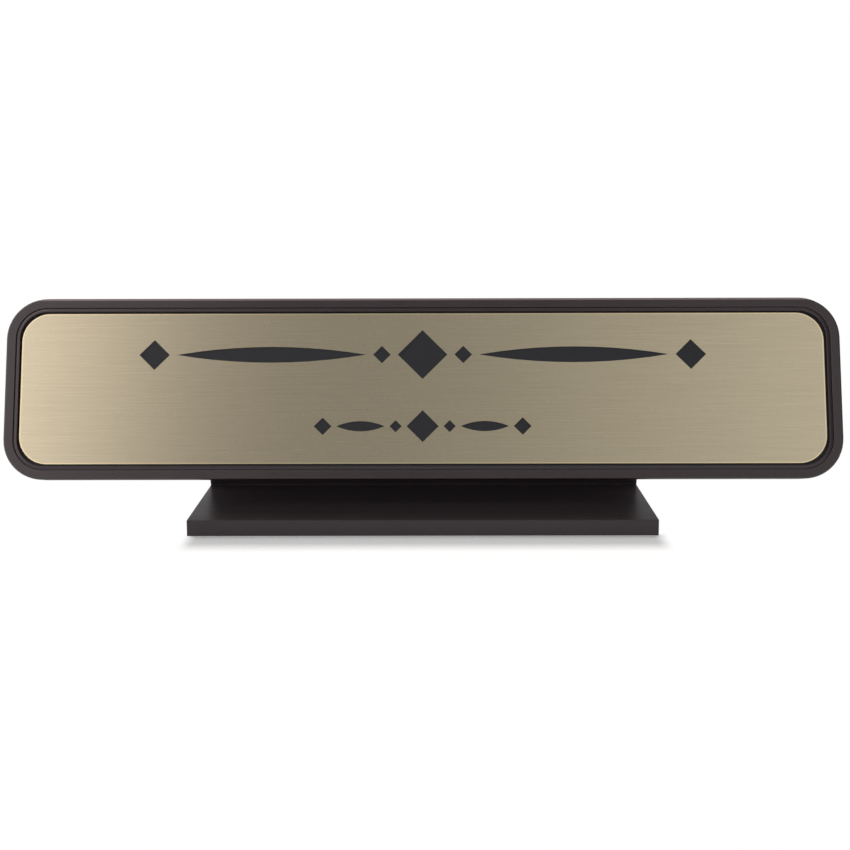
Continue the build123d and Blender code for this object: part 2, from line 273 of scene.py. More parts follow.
past_corner_middle = maths(outline_inset, "ADD", reach, within)
inset = maths(outline_inset, "SUBTRACT", entry["Corner Radius"], past_corner_middle)
outline_inset.links.new(inset, exit_sockets["Inset"])
print("Group made:", outline_inset.name)

# %% [markdown]
# Every material below starts the same way: an empty tree with a Principled shader and the piece's own
# Object coordinates, which are in metres in the shared frame. Further helpers cover what the recipes repeat:
# placing a group, with its sizes in millimetres, mixing two colours, and the end, where everything that
# varies is linked to the shader and everything that doesn't is written into it.

# %% Helpers for materials
def new_material(name):
    """A material with a Principled shader. Returns it with its tree, shader and Object coordinates."""
    material = bpy.data.materials.new(name)
    material.use_nodes = True
    tree = material.node_tree
    shader = tree.nodes["Principled BSDF"]
    coordinates = add_node(tree, "ShaderNodeTexCoord").outputs["Object"]
    return material, tree, shader, coordinates


def place_group(tree, group, sockets):
    """The outputs of a group that is placed in a tree."""
    return add_node(tree, "ShaderNodeGroup", sockets, node_tree=group).outputs


def skin_of(tree, place, pebble, patch):
    """The pebbles and patches of a moulded skin."""
    sizes = {"Pebble Size": pebble * MM, "Patch Size": patch * MM}
    return place_group(tree, moulded_skin, {"Vector": place, **sizes})


def lines_of(tree, place, width, length, band):
    """The lines and bands of a drawn surface."""
    sizes = {"Line Width": width * MM, "Line Length": length * MM, "Band Width": band * MM}
    return place_group(tree, drawn_lines, {"Vector": place, **sizes})


def dust_of(tree, place, speck, cover, strength):
    """The share of lint, from the size of its specks and how much they cover."""
    sockets = {"Vector": place, "Speck Size": speck * MM, "Cover": cover}
    return maths(tree, "MULTIPLY", place_group(tree, settled_dust, sockets)["Dust"], strength)


def mix_colours(tree, share, first, second):
    """Two colours mixed by a share. A colour is three numbers or another node's output."""
    ends = {6: first, 7: second}
    sockets = {key: (*end, 1.0) if isinstance(end, tuple) else end for key, end in ends.items()}
    return add_node(tree, "ShaderNodeMix", {0: share, **sockets}, data_type="RGBA").outputs[2]


def bump(tree, height, depth, normal=None):
    """A normal that follows a height of the given depth, on top of another normal."""
    sockets = {"Height": height, "Distance": depth * MM, "Strength": 1.0}
    if normal is not None:
        sockets["Normal"] = normal
    return made(tree, "ShaderNodeBump", sockets)


def finish_shader(tree, shader, colour, gloss, normal, uniform):
    """Links what varies to the shader, and writes what is the same everywhere."""
    for name, output in (("Base Color", colour), ("Roughness", gloss), ("Normal", normal)):
        tree.links.new(output, shader.inputs[name])
    for name, value in uniform.items():
        shader.inputs[name].default_value = value


LINT = (0.34, 0.32, 0.30)
BROWN_TINT = (1.0, 0.90, 0.92, 1.0)
print("Material helpers are ready")

# %% [markdown]
# The frame is moulded in black plastic with a satin skin, a little brown in the light. A plain dark colour
# would look like a hole in the picture, because on black plastic most of what one sees is gloss: so the
# gloss carries the detail, with fine pebbles, slow patches, edges that handling has polished, and a trace
# of lint on top. Along the upper front edge a thin pale line is painted into the colour: a painted highlight
# for the light that the rounded edge catches. A Mapping node turns the coordinates into the sign's own axes,
# where that edge is simply what is high and near the front.

# %% Material: black moulding
HIGHLIGHT_BELOW_TOP = (0.80 * MM, 0.55 * MM)
HIGHLIGHT_BEHIND_FRONT = (1.2 * MM, 0.5 * MM)
frame_high = sign_box("frame")[1]
black_moulding, tree, shader, place = new_material("black_moulding")
skin = skin_of(tree, place, pebble=0.28, patch=22)
edges = place_group(tree, soft_edges, {"Radius": 0.25 * MM})
mottled = mix_colours(tree, skin["Patches"], (0.0114, 0.0064, 0.0078), (0.0158, 0.0091, 0.0108))
worn = mix_colours(tree, maths(tree, "MULTIPLY", edges["Edge"], 0.4), mottled, (0.040, 0.030, 0.030))
on_sign = made(
    tree, "ShaderNodeMapping", {"Vector": place, "Rotation": sign_turn.to_euler()}, vector_type="TEXTURE"
)
sign_place = axes_of(tree, on_sign)
# Painted highlight: a thin pale line along the upper front edge, where the rounded edge catches the light.
high = spread(tree, sign_place["Y"], 0.0, 0.9, *(frame_high.y - depth for depth in HIGHLIGHT_BELOW_TOP))
near = spread(tree, sign_place["Z"], 0.2, 1.0, *(frame_high.z - depth for depth in HIGHLIGHT_BEHIND_FRONT))
wear_and_painted_highlight = mix_colours(tree, maths(tree, "MULTIPLY", high, near), worn, (0.165, 0.128, 0.133))
dusty = mix_colours(tree, dust_of(tree, place, speck=1.1, cover=0.10, strength=0.25), wear_and_painted_highlight, LINT)
finish_shader(
    tree, shader, dusty, spread(tree, skin["Patches"], 0.35, 0.43),
    bump(tree, skin["Pebbles"], 0.012, edges["Normal"]),
    {"Specular IOR Level": 0.82, "Specular Tint": BROWN_TINT},
)
print("Material made:", black_moulding.name)

# %% [markdown]
# The bead is drawn through a die from softer vinyl, so its skin is smoother and a little glossier than the
# frame's. Its slope turns away from the insert, so each side of the window mirrors another part of the
# room.

# %% Material: bead vinyl
bead_vinyl, tree, shader, place = new_material("bead_vinyl")
skin = skin_of(tree, place, pebble=0.18, patch=9)
mottled = mix_colours(tree, skin["Patches"], (0.0170, 0.0122, 0.0140), (0.0230, 0.0165, 0.0188))
dusty = mix_colours(tree, dust_of(tree, place, speck=0.9, cover=0.08, strength=0.2), mottled, LINT)
finish_shader(
    tree, shader, dusty, spread(tree, skin["Patches"], 0.30, 0.38), bump(tree, skin["Pebbles"], 0.005),
    {"Specular IOR Level": 0.50, "Specular Tint": BROWN_TINT},
)
print("Material made:", bead_vinyl.name)

# %% [markdown]
# The insert's face is a gold metal film, brushed from side to side. It could be drawn as a picture of
# streaks, but the streaks have to answer to the light: so the lines drive the roughness and a very shallow
# bump, and tint the colour only a little. The large change from light to dark along the plate is left to
# the studio, which the metal mirrors.

# %% Material: brushed gold
FACE_CORNER_RADIUS = 8.7 * MM
HIGHLIGHT_LINE_WIDTH = 0.5 * MM
face_low, face_high = sign_box("insert_face")
face_half = (face_high - face_low) / 2
face_middle = sign_turn @ ((face_low + face_high) / 2)
brushed_gold, tree, shader, place = new_material("brushed_gold")
brush = lines_of(tree, place, width=0.12, length=25, band=0.3)
skin = skin_of(tree, place, pebble=0.25, patch=45)
lines, bands, grain = [
    spread(tree, value, 0.0, 1.0) for value in (brush["Lines"], brush["Bands"], skin["Pebbles"])
]
streaks = maths(tree, "MULTIPLY_ADD", lines, 0.5, maths(tree, "MULTIPLY", bands, 0.2))
streaks = maths(tree, "MULTIPLY_ADD", grain, 0.2, streaks)
brushed = mix_colours(tree, streaks, (0.62, 0.525, 0.376), (0.805, 0.685, 0.503))
toned = mix_colours(tree, spread(tree, skin["Patches"], 0.0, 0.12), brushed, (0.68, 0.62, 0.48))
on_sign = made(
    tree, "ShaderNodeMapping",
    {"Vector": place, "Location": face_middle, "Rotation": sign_turn.to_euler()}, vector_type="TEXTURE",
)
inset = place_group(
    tree, outline_inset,
    {"Vector": on_sign, "Half Length": face_half.x, "Half Height": face_half.y,
     "Corner Radius": FACE_CORNER_RADIUS},
)["Inset"]
# Painted highlight: a bright line along the face's outline, as if a narrow bevel caught the light.
painted_outline_highlight = spread(tree, inset, 1.0, 0.0, HIGHLIGHT_LINE_WIDTH / 2, HIGHLIGHT_LINE_WIDTH)
with_outline_highlight = mix_colours(tree, painted_outline_highlight, toned, (1.0, 0.82, 0.53))
gloss = spread(tree, streaks, 0.30, 0.26, 0.0, 1.0)
finish_shader(tree, shader, with_outline_highlight, gloss, bump(tree, lines, 0.0015), {"Metallic": 1.0})
print("Material made:", brushed_gold.name)

# %% [markdown]
# The engraving goes through the gold film into a black core. A turning cutter leaves a matt floor with fine
# tracks, so the core is rougher than the moulding and has its own short lines.

# %% Material: cut black core
cut_core, tree, shader, place = new_material("cut_black_core")
tracks = lines_of(tree, place, width=0.16, length=3, band=1.2)
tone = mix_colours(tree, tracks["Bands"], (0.0065, 0.0065, 0.0095), (0.0115, 0.0115, 0.0155))
gloss = spread(tree, tracks["Lines"], 0.48, 0.62)
finish_shader(tree, shader, tone, gloss, bump(tree, tracks["Lines"], 0.010), {"Specular IOR Level": 0.41})
print("Material made:", cut_core.name)

# %% [markdown]
# The stand is one black profile, drawn through a die and sawn to length. Its long faces carry faint lines
# along X, and its satin skin mirrors what stands near it, softly: close to the leg almost sharp, further
# forward blurred. Under the sign the top of the foot is painted lighter: painted light that lifts the
# shade the sign casts there. It grows stronger towards the strut.

# %% Material: stand black
PAINTED_LIGHT_START = -17 * MM
PAINTED_LIGHT_END = 22 * MM
stand_black, tree, shader, place = new_material("stand_black")
die = lines_of(tree, place, width=0.25, length=400, band=2.5)
skin = skin_of(tree, place, pebble=0.22, patch=26)
edges = place_group(tree, soft_edges, {"Radius": 0.2 * MM})
mottled = mix_colours(tree, skin["Patches"], (0.0232, 0.0179, 0.0210), (0.0301, 0.0232, 0.0273))
worn = mix_colours(tree, maths(tree, "MULTIPLY", edges["Edge"], 0.2), mottled, (0.044, 0.037, 0.041))
# Painted light: faces that look up are lightened towards the strut, lifting the shade under the sign.
normal = add_node(tree, "ShaderNodeNewGeometry").outputs["Normal"]
upward = spread(tree, axes_of(tree, normal)["Z"], 0.0, 1.0, 0.90, 0.98)
painted_light_share = spread(tree, axes_of(tree, place)["Y"], 0.0, 0.22, PAINTED_LIGHT_START, PAINTED_LIGHT_END)
with_painted_light = mix_colours(tree, maths(tree, "MULTIPLY", upward, painted_light_share), worn, (0.29, 0.235, 0.28))
dusty = mix_colours(tree, dust_of(tree, place, speck=1.4, cover=0.07, strength=0.22), with_painted_light, LINT)
relief = maths(tree, "MULTIPLY_ADD", die["Lines"], 0.5, skin["Pebbles"])
finish_shader(
    tree, shader, dusty, spread(tree, die["Bands"], 0.36, 0.40), bump(tree, relief, 0.006, edges["Normal"]),
    {"Specular IOR Level": 0.32},
)
print("Material made:", stand_black.name)

# %% [markdown]
# Three small materials are left. The screws are steel, blackened, and bright where the driver has rubbed
# them. The pads are matt rubber. The tape that holds the insert is a pale paper carrier with short fibres.

# %% Materials: screw steel, pad rubber and tape
screw_steel, tree, shader, place = new_material("screw_steel")
skin = skin_of(tree, place, pebble=0.15, patch=1.5)
edges = place_group(tree, soft_edges, {"Radius": 0.12 * MM})
blackened = mix_colours(tree, skin["Patches"], (0.060, 0.060, 0.066), (0.105, 0.103, 0.106))
wear_and_painted_highlight = mix_colours(tree, maths(tree, "MULTIPLY", edges["Edge"], 0.6), blackened, (0.42, 0.41, 0.40))
gloss = spread(tree, skin["Patches"], 0.28, 0.42)
relief = bump(tree, skin["Pebbles"], 0.006, edges["Normal"])
finish_shader(tree, shader, wear_and_painted_highlight, gloss, relief, {"Metallic": 1.0})

pad_rubber, tree, shader, place = new_material("pad_rubber")
skin = skin_of(tree, place, pebble=0.35, patch=5)
tone = mix_colours(tree, skin["Patches"], (0.018, 0.018, 0.019), (0.032, 0.031, 0.032))
gloss = spread(tree, skin["Patches"], 0.70, 0.86)
finish_shader(tree, shader, tone, gloss, bump(tree, skin["Pebbles"], 0.03), {})

tape_paper, tree, shader, place = new_material("tape_paper")
fibres = lines_of(tree, place, width=0.2, length=2, band=1.5)
tone = mix_colours(tree, fibres["Bands"], (0.70, 0.67, 0.60), (0.80, 0.78, 0.72))
gloss = spread(tree, fibres["Lines"], 0.75, 0.9)
finish_shader(tree, shader, tone, gloss, bump(tree, fibres["Lines"], 0.02), {})
print("Materials made:", screw_steel.name, pad_rubber.name, tape_paper.name)

# %% [markdown]
# The frame, the insert, the tape and the stand have the right shape already, so their CAD nodes stay and
# only trade their plain colour for a finish.

# %% Finishes on the CAD nodes
finishes = {
    "frame": black_moulding,
    "insert_face": brushed_gold,
    "insert_core": cut_core,
    "insert_tape_upper": tape_paper,
    "insert_tape_lower": tape_paper,
    "desk_bracket": stand_black,
}
for node, finish in finishes.items():
    nodes[node].data.materials.clear()
    nodes[node].data.materials.append(finish)
print("Finished nodes:", ", ".join(finishes))

# %% [markdown]
# The rest is built by Geometry Nodes, because each piece is a plain outline that is drawn along a path,
# turned round an axis or set down several times. An outline is given by its corners, and each corner
# carries its own rounding as a named attribute, so the trees below can round it without knowing what it is.
# The first number of a corner points outward from the path or the axis, and the second points down or back,
# because that is how a sweep lays a section.

# %% Helpers for node-built pieces
TURN_STEPS = 52
ROUNDING_STEPS = 10
MERGE_DISTANCE = 0.001 * MM
SHARP_ANGLE = 0.7


def outline_mesh(name, corners, closed):
    """A chain of edges through corners, given as (outward, back, rounding)."""
    mesh = bpy.data.meshes.new(name)
    last = len(corners) if closed else len(corners) - 1
    edges = [(index, (index + 1) % len(corners)) for index in range(last)]
    mesh.from_pydata([(outward, back, 0) for outward, back, rounding in corners], edges, [])
    attribute = mesh.attributes.new("rounding", "FLOAT", "POINT")
    attribute.data.foreach_set("value", [rounding for outward, back, rounding in corners])
    return mesh


def rounded_outline(tree, mesh):
    """The outline as a curve with its corners rounded."""
    chain = made(tree, "GeometryNodeMeshToCurve", {"Mesh": mesh})
    rounding = made(tree, "GeometryNodeInputNamedAttribute", {"Name": "rounding"}, data_type="FLOAT")
    return made(
        tree, "GeometryNodeFilletCurve",
        {"Curve": chain, "Radius": rounding, "Count": ROUNDING_STEPS}, mode="POLY",
    )


def swept(tree, path, section):
    """A section drawn along a path, with its outward side kept level."""
    level = made(tree, "GeometryNodeSetCurveNormal", {"Curve": path}, mode="Z_UP")
    sweep = made(
        tree, "GeometryNodeCurveToMesh", {"Curve": level, "Profile Curve": section, "Fill Caps": True}
    )
    return made(tree, "GeometryNodeMergeByDistance", {"Geometry": sweep, "Distance": MERGE_DISTANCE})


def moved(tree, geometry, **sides):
    """Geometry moved along X, Y and Z."""
    step = vector_of(tree, **sides)
    return made(tree, "GeometryNodeTransform", {"Geometry": geometry, "Translation": step})


def turned(tree, mesh, radius):
    """An open outline turned round the Z axis. Its corners are measured from the axis."""
    shifted = moved(tree, rounded_outline(tree, mesh), X=maths(tree, "MULTIPLY", radius, -1.0))
    circle = made(tree, "GeometryNodeCurvePrimitiveCircle", {"Resolution": TURN_STEPS, "Radius": radius})
    return swept(tree, circle, shifted)


def smooth_by_angle(tree, geometry):
    """Smooth faces, with a sharp line kept wherever two faces meet at a sharp angle."""
    smooth = made(tree, "GeometryNodeSetShadeSmooth", {"Geometry": geometry})
    turn = add_node(tree, "GeometryNodeInputMeshEdgeAngle").outputs["Unsigned Angle"]
    steep = made(tree, "FunctionNodeCompare", {0: turn, 1: SHARP_ANGLE}, operation="GREATER_THAN")
    return made(
        tree, "GeometryNodeSetShadeSmooth",
        {"Geometry": smooth, "Selection": steep, "Shade Smooth": False}, domain="EDGE",
    )


def finish_tree(tree, geometry, material, exit_sockets):
    """The end of every tree: instances made real, and the material set."""
    real = made(tree, "GeometryNodeRealizeInstances", {"Geometry": geometry})
    painted = made(tree, "GeometryNodeSetMaterial", {"Geometry": real, "Material": material})
    tree.links.new(painted, exit_sockets["Geometry"])


def made_by_nodes(name, tree, start, values):
    """Runs a tree on a start mesh, and returns the result as a plain mesh."""
    maker = bpy.data.objects.new(name + "_maker", start)
    bpy.context.scene.collection.objects.link(maker)
    modifier = maker.modifiers.new("build", "NODES")
    modifier.node_group = tree
    for item in tree.interface.items_tree:
        if item.in_out == "INPUT" and item.name in values:
            modifier[item.identifier] = values[item.name]
    depsgraph = bpy.context.evaluated_depsgraph_get()
    mesh = bpy.data.meshes.new_from_object(maker.evaluated_get(depsgraph))
    mesh.name = name
    for spare in [attribute.name for attribute in mesh.attributes if attribute.name == "rounding"]:
        mesh.attributes.remove(mesh.attributes[spare])
    bpy.data.objects.remove(maker)
    return mesh


def show_piece(name, mesh, replaced):
    """A finished piece on the one body of this part, in place of CAD nodes."""
    piece = bpy.data.objects.new(name, mesh)
    bpy.context.scene.collection.objects.link(piece)
    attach(piece, "root")
    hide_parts(*replaced)


print("Piece helpers are ready")

# %% [markdown]
# The bead is one section drawn along one path. The section has a crest beside the insert, a gentle slope
# down to the frame, and a foot at its back that snaps under the frame's wall. The path is a rounded
# rectangle. The real strip is cut, and its ends meet in a butt seam near the upper right corner, so the
# tree walks round the closed rectangle from just past the seam to just before it.

# %% Tree: a strip drawn round a rounded window
WINDOW_CORNER_STEPS = 40
swept_bead, entry, exit_sockets = new_group(
    "Swept bead", "GeometryNodeTree",
    {"Section": GEOMETRY, "Length": 250 * MM, "Height": 50 * MM, "Corner Radius": 9 * MM, "Seam Place": 0.1,
     "Seam Gap": 0.1 * MM, "Steps": COUNT, "Material": MATERIAL},
    {"Geometry": GEOMETRY},
)
tree = swept_bead
rectangle = made(
    tree, "GeometryNodeCurvePrimitiveQuadrilateral", {"Width": entry["Length"], "Height": entry["Height"]}
)
window = made(
    tree, "GeometryNodeFilletCurve",
    {"Curve": rectangle, "Radius": entry["Corner Radius"], "Count": WINDOW_CORNER_STEPS}, mode="POLY",
)
around = made(tree, "GeometryNodeCurveLength", {0: window})
gap_share = maths(tree, "DIVIDE", entry["Seam Gap"], around)
walk = add_node(tree, "GeometryNodeSplineParameter").outputs["Factor"]
walked = maths(tree, "MULTIPLY", walk, maths(tree, "SUBTRACT", 1.0, gap_share))
start = maths(tree, "MULTIPLY_ADD", gap_share, 0.5, entry["Seam Place"])
share = maths(tree, "FRACT", maths(tree, "ADD", start, walked))
spot = add_node(tree, "GeometryNodeSampleCurve", {"Curves": window, "Factor": share}, mode="FACTOR")
line = made(tree, "GeometryNodeCurvePrimitiveLine")
steps = made(tree, "GeometryNodeResampleCurve", {"Curve": line, "Count": entry["Steps"]})
path = made(tree, "GeometryNodeSetPosition", {"Geometry": steps, "Position": spot.outputs["Position"]})
strip = swept(tree, path, rounded_outline(tree, entry["Section"]))
finish_tree(tree, smooth_by_angle(tree, strip), entry["Material"], exit_sockets)
print("Tree made:", swept_bead.name)

# %% [markdown]
# Now the tree gets its numbers. The length, the height and the rise of the crest come from the box of the
# CAD bead, so only the corner and the section's own small sizes are written here. The seam is given as a
# share of the way round: the walk starts at the upper right corner, follows its arc and goes on a little way
# along the top.

# %% The bead round the window
BEAD_HALF_WIDTH = 0.55 * MM
BEAD_SLOPE_WIDTH = 0.75 * MM
BEAD_SLOPE_DROP = 0.22 * MM
BEAD_INNER_RADIUS = 0.12 * MM
BEAD_CREST_RADIUS = 0.6 * MM
BEAD_OUTER_RADIUS = 0.05 * MM
BEAD_FOOT_SIDE = 0.70 * MM
BEAD_FOOT_HEIGHT = 1.0 * MM
BEAD_RIB_TIP = 1.05 * MM
BEAD_RIB_HEIGHT = 0.4 * MM
BEAD_PATH_RADIUS = 8.95 * MM
BEAD_STEPS = 900
SEAM_GAP = 0.12 * MM
SEAM_FROM_CORNER = 1.4 * MM
bead_low, bead_high = sign_box("retaining_bead")
bead_size = bead_high - bead_low
crest_rise = bead_size.z - BEAD_FOOT_HEIGHT
rib_top = BEAD_FOOT_HEIGHT - BEAD_RIB_HEIGHT
bead_section = outline_mesh(
    "bead_section",
    [
        (-BEAD_HALF_WIDTH, BEAD_FOOT_HEIGHT, 0),
        (-BEAD_HALF_WIDTH, -crest_rise, BEAD_INNER_RADIUS),
        (BEAD_HALF_WIDTH - BEAD_SLOPE_WIDTH, -crest_rise, BEAD_CREST_RADIUS),
        (BEAD_HALF_WIDTH, BEAD_SLOPE_DROP - crest_rise, BEAD_OUTER_RADIUS),
        (BEAD_HALF_WIDTH, 0, 0),
        (BEAD_FOOT_SIDE, 0, 0),
        (BEAD_FOOT_SIDE, rib_top, 0),
        (BEAD_RIB_TIP, rib_top, 0),
        (BEAD_RIB_TIP, BEAD_FOOT_HEIGHT, 0),
    ],
    closed=True,
)
path_length = bead_size.x - 2 * BEAD_RIB_TIP
path_height = bead_size.y - 2 * BEAD_RIB_TIP
path_round = 2 * (path_length + path_height) - (8 - 2 * math.pi) * BEAD_PATH_RADIUS
seam_walk = math.pi / 2 * BEAD_PATH_RADIUS + SEAM_FROM_CORNER
bead_mesh = made_by_nodes(
    "retaining_bead_swept",
    swept_bead,
    bead_section,
    {
        "Length": path_length,
        "Height": path_height,
        "Corner Radius": BEAD_PATH_RADIUS,
        "Seam Place": seam_walk / path_round,
        "Seam Gap": SEAM_GAP,
        "Steps": BEAD_STEPS,
        "Material": bead_vinyl,
    },
)
bead_middle = (bead_low + bead_high) / 2
bead_foot_front = Vector((bead_middle.x, bead_middle.y, bead_low.z + BEAD_FOOT_HEIGHT))
bead_mesh.transform(sign_turn.to_4x4() @ Matrix.Translation(bead_foot_front))
show_piece("bead", bead_mesh, ["retaining_bead"])
print(f"Bead: {len(bead_mesh.polygons)} faces")

# %% [markdown]
# Four alike pads stand at the corners of a rectangle. One disc with a rounded lower rim is turned from its
# outline and set down on the four points of a grid, so a change to the disc changes all of them.

# %% The pads under the foot
pads_on_grid, entry, exit_sockets = new_group(
    "Pads on a grid", "GeometryNodeTree",
    {"Outline": GEOMETRY, "Radius": 6 * MM, "Spacing X": 100 * MM, "Spacing Y": 40 * MM,
     "Material": MATERIAL},
    {"Geometry": GEOMETRY},
)
disc = smooth_by_angle(pads_on_grid, turned(pads_on_grid, entry["Outline"], entry["Radius"]))
grid = made(
    pads_on_grid, "GeometryNodeMeshGrid",
    {"Size X": entry["Spacing X"], "Size Y": entry["Spacing Y"], "Vertices X": 2, "Vertices Y": 2},
)
discs = made(pads_on_grid, "GeometryNodeInstanceOnPoints", {"Points": grid, "Instance": disc})
finish_tree(pads_on_grid, discs, entry["Material"], exit_sockets)

PAD_RIM = 0.2 * MM
pad_nodes = [f"foot_pad_{end}_{side}" for end in ("front", "rear") for side in ("left", "right")]
pad_boxes = [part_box(node) for node in pad_nodes]
pad_middles = [(low + high) / 2 for low, high in pad_boxes]
pad_size = pad_boxes[0][1] - pad_boxes[0][0]
pad_outline = outline_mesh(
    "pad_outline",
    [(0, 0, 0), (pad_size.x / 2, 0, 0), (pad_size.x / 2, pad_size.z, PAD_RIM), (0, pad_size.z, 0)],
    closed=False,
)
pad_mesh = made_by_nodes(
    "foot_pads_turned",
    pads_on_grid,
    pad_outline,
    {
        "Radius": pad_size.x / 2,
        "Spacing X": pad_middles[1].x - pad_middles[0].x,
        "Spacing Y": pad_middles[2].y - pad_middles[0].y,
        "Material": pad_rubber,
    },
)
pads_middle = sum(pad_middles, Vector()) / len(pad_middles)
pad_mesh.transform(Matrix.Translation((pads_middle.x, pads_middle.y, pad_boxes[0][1].z)))
show_piece("pads", pad_mesh, pad_nodes)
print(f"Pads: {len(pad_mesh.polygons)} faces")

# %% [markdown]
# The screws are turned from an outline, the cross for the driver is cut out of the head, and the thread is
# a small triangle drawn along a helix round the core. Most of it is hidden in the frame, but a screw that
# is taken out should look like one. Both screws point along the sign's own axis, so the tree sets them down
# on a row of two points.

# %% Tree: a row of threaded screws
HELIX_STEPS = 32
FLANK_OF_PITCH = 0.3
ROOT_OF_RISE = -0.2
threaded_screws, entry, exit_sockets = new_group(
    "Row of screws", "GeometryNodeTree",
    {"Outline": GEOMETRY, "Head Radius": 3 * MM, "Length": 8 * MM, "Drive Length": 3 * MM,
     "Drive Width": 0.7 * MM, "Drive Depth": 1 * MM, "Core Radius": 0.9 * MM, "Crest Radius": 1.2 * MM,
     "Pitch": 1 * MM, "Thread Start": 0.5 * MM, "Thread End": 6 * MM, "Spacing": 76 * MM,
     "Material": MATERIAL},
    {"Geometry": GEOMETRY},
)
tree = threaded_screws
blank = turned(tree, entry["Outline"], entry["Head Radius"])
deep = maths(tree, "MULTIPLY", entry["Drive Depth"], 2.0)
length_up = maths(tree, "MULTIPLY", entry["Length"], -1.0)
body = add_node(tree, "GeometryNodeMeshBoolean", {"Mesh 1": blank}, operation="DIFFERENCE", solver="EXACT")
for along_x, along_y in (("Drive Length", "Drive Width"), ("Drive Width", "Drive Length")):
    size = vector_of(tree, X=entry[along_x], Y=entry[along_y], Z=deep)
    cutter = moved(tree, made(tree, "GeometryNodeMeshCube", {"Size": size}), Z=length_up)
    tree.links.new(cutter, body.inputs["Mesh 2"])

threaded = maths(tree, "SUBTRACT", entry["Thread End"], entry["Thread Start"])
helix = made(
    tree, "GeometryNodeCurveSpiral",
    {"Resolution": HELIX_STEPS, "Rotations": maths(tree, "DIVIDE", threaded, entry["Pitch"]),
     "Start Radius": entry["Core Radius"], "End Radius": entry["Core Radius"], "Height": threaded,
     "Reverse": True},
)
helix_placed = moved(tree, helix, Z=maths(tree, "MULTIPLY", entry["Thread End"], -1.0))
rise = maths(tree, "SUBTRACT", entry["Crest Radius"], entry["Core Radius"])
flank = maths(tree, "MULTIPLY", entry["Pitch"], FLANK_OF_PITCH)
root = maths(tree, "MULTIPLY", rise, ROOT_OF_RISE)
wedge = made(tree, "GeometryNodeCurvePrimitiveLine")
ends = made(tree, "GeometryNodeResampleCurve", {"Curve": wedge, "Count": 3})
order = made(tree, "GeometryNodeInputIndex")
at_crest = made(tree, "FunctionNodeCompare", {2: order, 3: 1}, data_type="INT", operation="EQUAL")
outward = made(tree, "GeometryNodeSwitch", {0: at_crest, 1: root, 2: rise}, input_type="FLOAT")
beside = maths(tree, "MULTIPLY", maths(tree, "SUBTRACT", order, 1.0), flank)
corner = vector_of(tree, X=outward, Y=beside)
triangle = made(tree, "GeometryNodeSetPosition", {"Geometry": ends, "Position": corner})
closed = made(tree, "GeometryNodeSetSplineCyclic", {"Geometry": triangle, "Cyclic": True})
thread = swept(tree, helix_placed, closed)
screw = add_node(tree, "GeometryNodeJoinGeometry")
for part in (smooth_by_angle(tree, body.outputs[0]), smooth_by_angle(tree, thread)):
    tree.links.new(part, screw.inputs[0])
row = made(
    tree, "GeometryNodeMeshGrid",
    {"Size X": entry["Spacing"], "Size Y": 0.0, "Vertices X": 2, "Vertices Y": 1},
)
pair = made(tree, "GeometryNodeInstanceOnPoints", {"Points": row, "Instance": screw.outputs[0]})
finish_tree(tree, pair, entry["Material"], exit_sockets)
print("Tree made:", threaded_screws.name)

# %% [markdown]
# The outline of a screw runs from its point along the core to the underside of the head, and over the crown
# to the middle. Its length and the width of its head come from the CAD screws. The thread is that of a
# common self-tapping screw for plastic. It stops a little short of the head.

# %% The two screws
SCREW_HEAD_HEIGHT = 1.7 * MM
SCREW_HEAD_CROWN = 0.9 * MM
SCREW_CREST_RADIUS = 1.2 * MM
SCREW_CORE_RADIUS = 0.9 * MM
SCREW_POINT_RADIUS = 0.3 * MM
SCREW_POINT_LENGTH = 1.2 * MM
DRIVE_LENGTH = 3.0 * MM
DRIVE_WIDTH = 0.7 * MM
DRIVE_DEPTH = 1.0 * MM
THREAD_PITCH = 1.0 * MM
THREAD_RUN_OUT = 0.4 * MM
left_low, left_high = sign_box("bracket_screw_left")
right_low, right_high = sign_box("bracket_screw_right")
screw_size = left_high - left_low
head_radius = screw_size.x / 2
under_head = screw_size.z - SCREW_HEAD_HEIGHT
screw_outline = outline_mesh(
    "screw_outline",
    [
        (0, 0, 0),
        (SCREW_POINT_RADIUS, 0, 0),
        (SCREW_CORE_RADIUS, SCREW_POINT_LENGTH, 0),
        (SCREW_CORE_RADIUS, under_head, 0),
        (head_radius, under_head, 0),
        (head_radius, screw_size.z, SCREW_HEAD_CROWN),
        (0, screw_size.z, 0),
    ],
    closed=False,
)
screw_mesh = made_by_nodes(
    "bracket_screws_turned",
    threaded_screws,
    screw_outline,
    {
        "Head Radius": head_radius,
        "Length": screw_size.z,
        "Drive Length": DRIVE_LENGTH,
        "Drive Width": DRIVE_WIDTH,
        "Drive Depth": DRIVE_DEPTH,
        "Core Radius": SCREW_CORE_RADIUS,
        "Crest Radius": SCREW_CREST_RADIUS,
        "Pitch": THREAD_PITCH,
        "Thread Start": SCREW_POINT_LENGTH,
        "Thread End": under_head - THREAD_RUN_OUT,
        "Spacing": right_low.x - left_low.x,
        "Material": screw_steel,
    },
)
screws_middle = (left_low + right_high) / 2
screw_tips = Vector((screws_middle.x, screws_middle.y, left_high.z))
screw_mesh.transform(sign_turn.to_4x4() @ Matrix.Translation(screw_tips))
show_piece("screws", screw_mesh, ["bracket_screw_left", "bracket_screw_right"])
print(f"Screws: {len(screw_mesh.polygons)} faces")

# %% [markdown]
# The photograph's camera stood a little above the plate and almost square to it. The lens is as long as the
# object's perspective asks for, on a full-size sensor, and the small turns take out the last traces of a
# tripod set by eye.

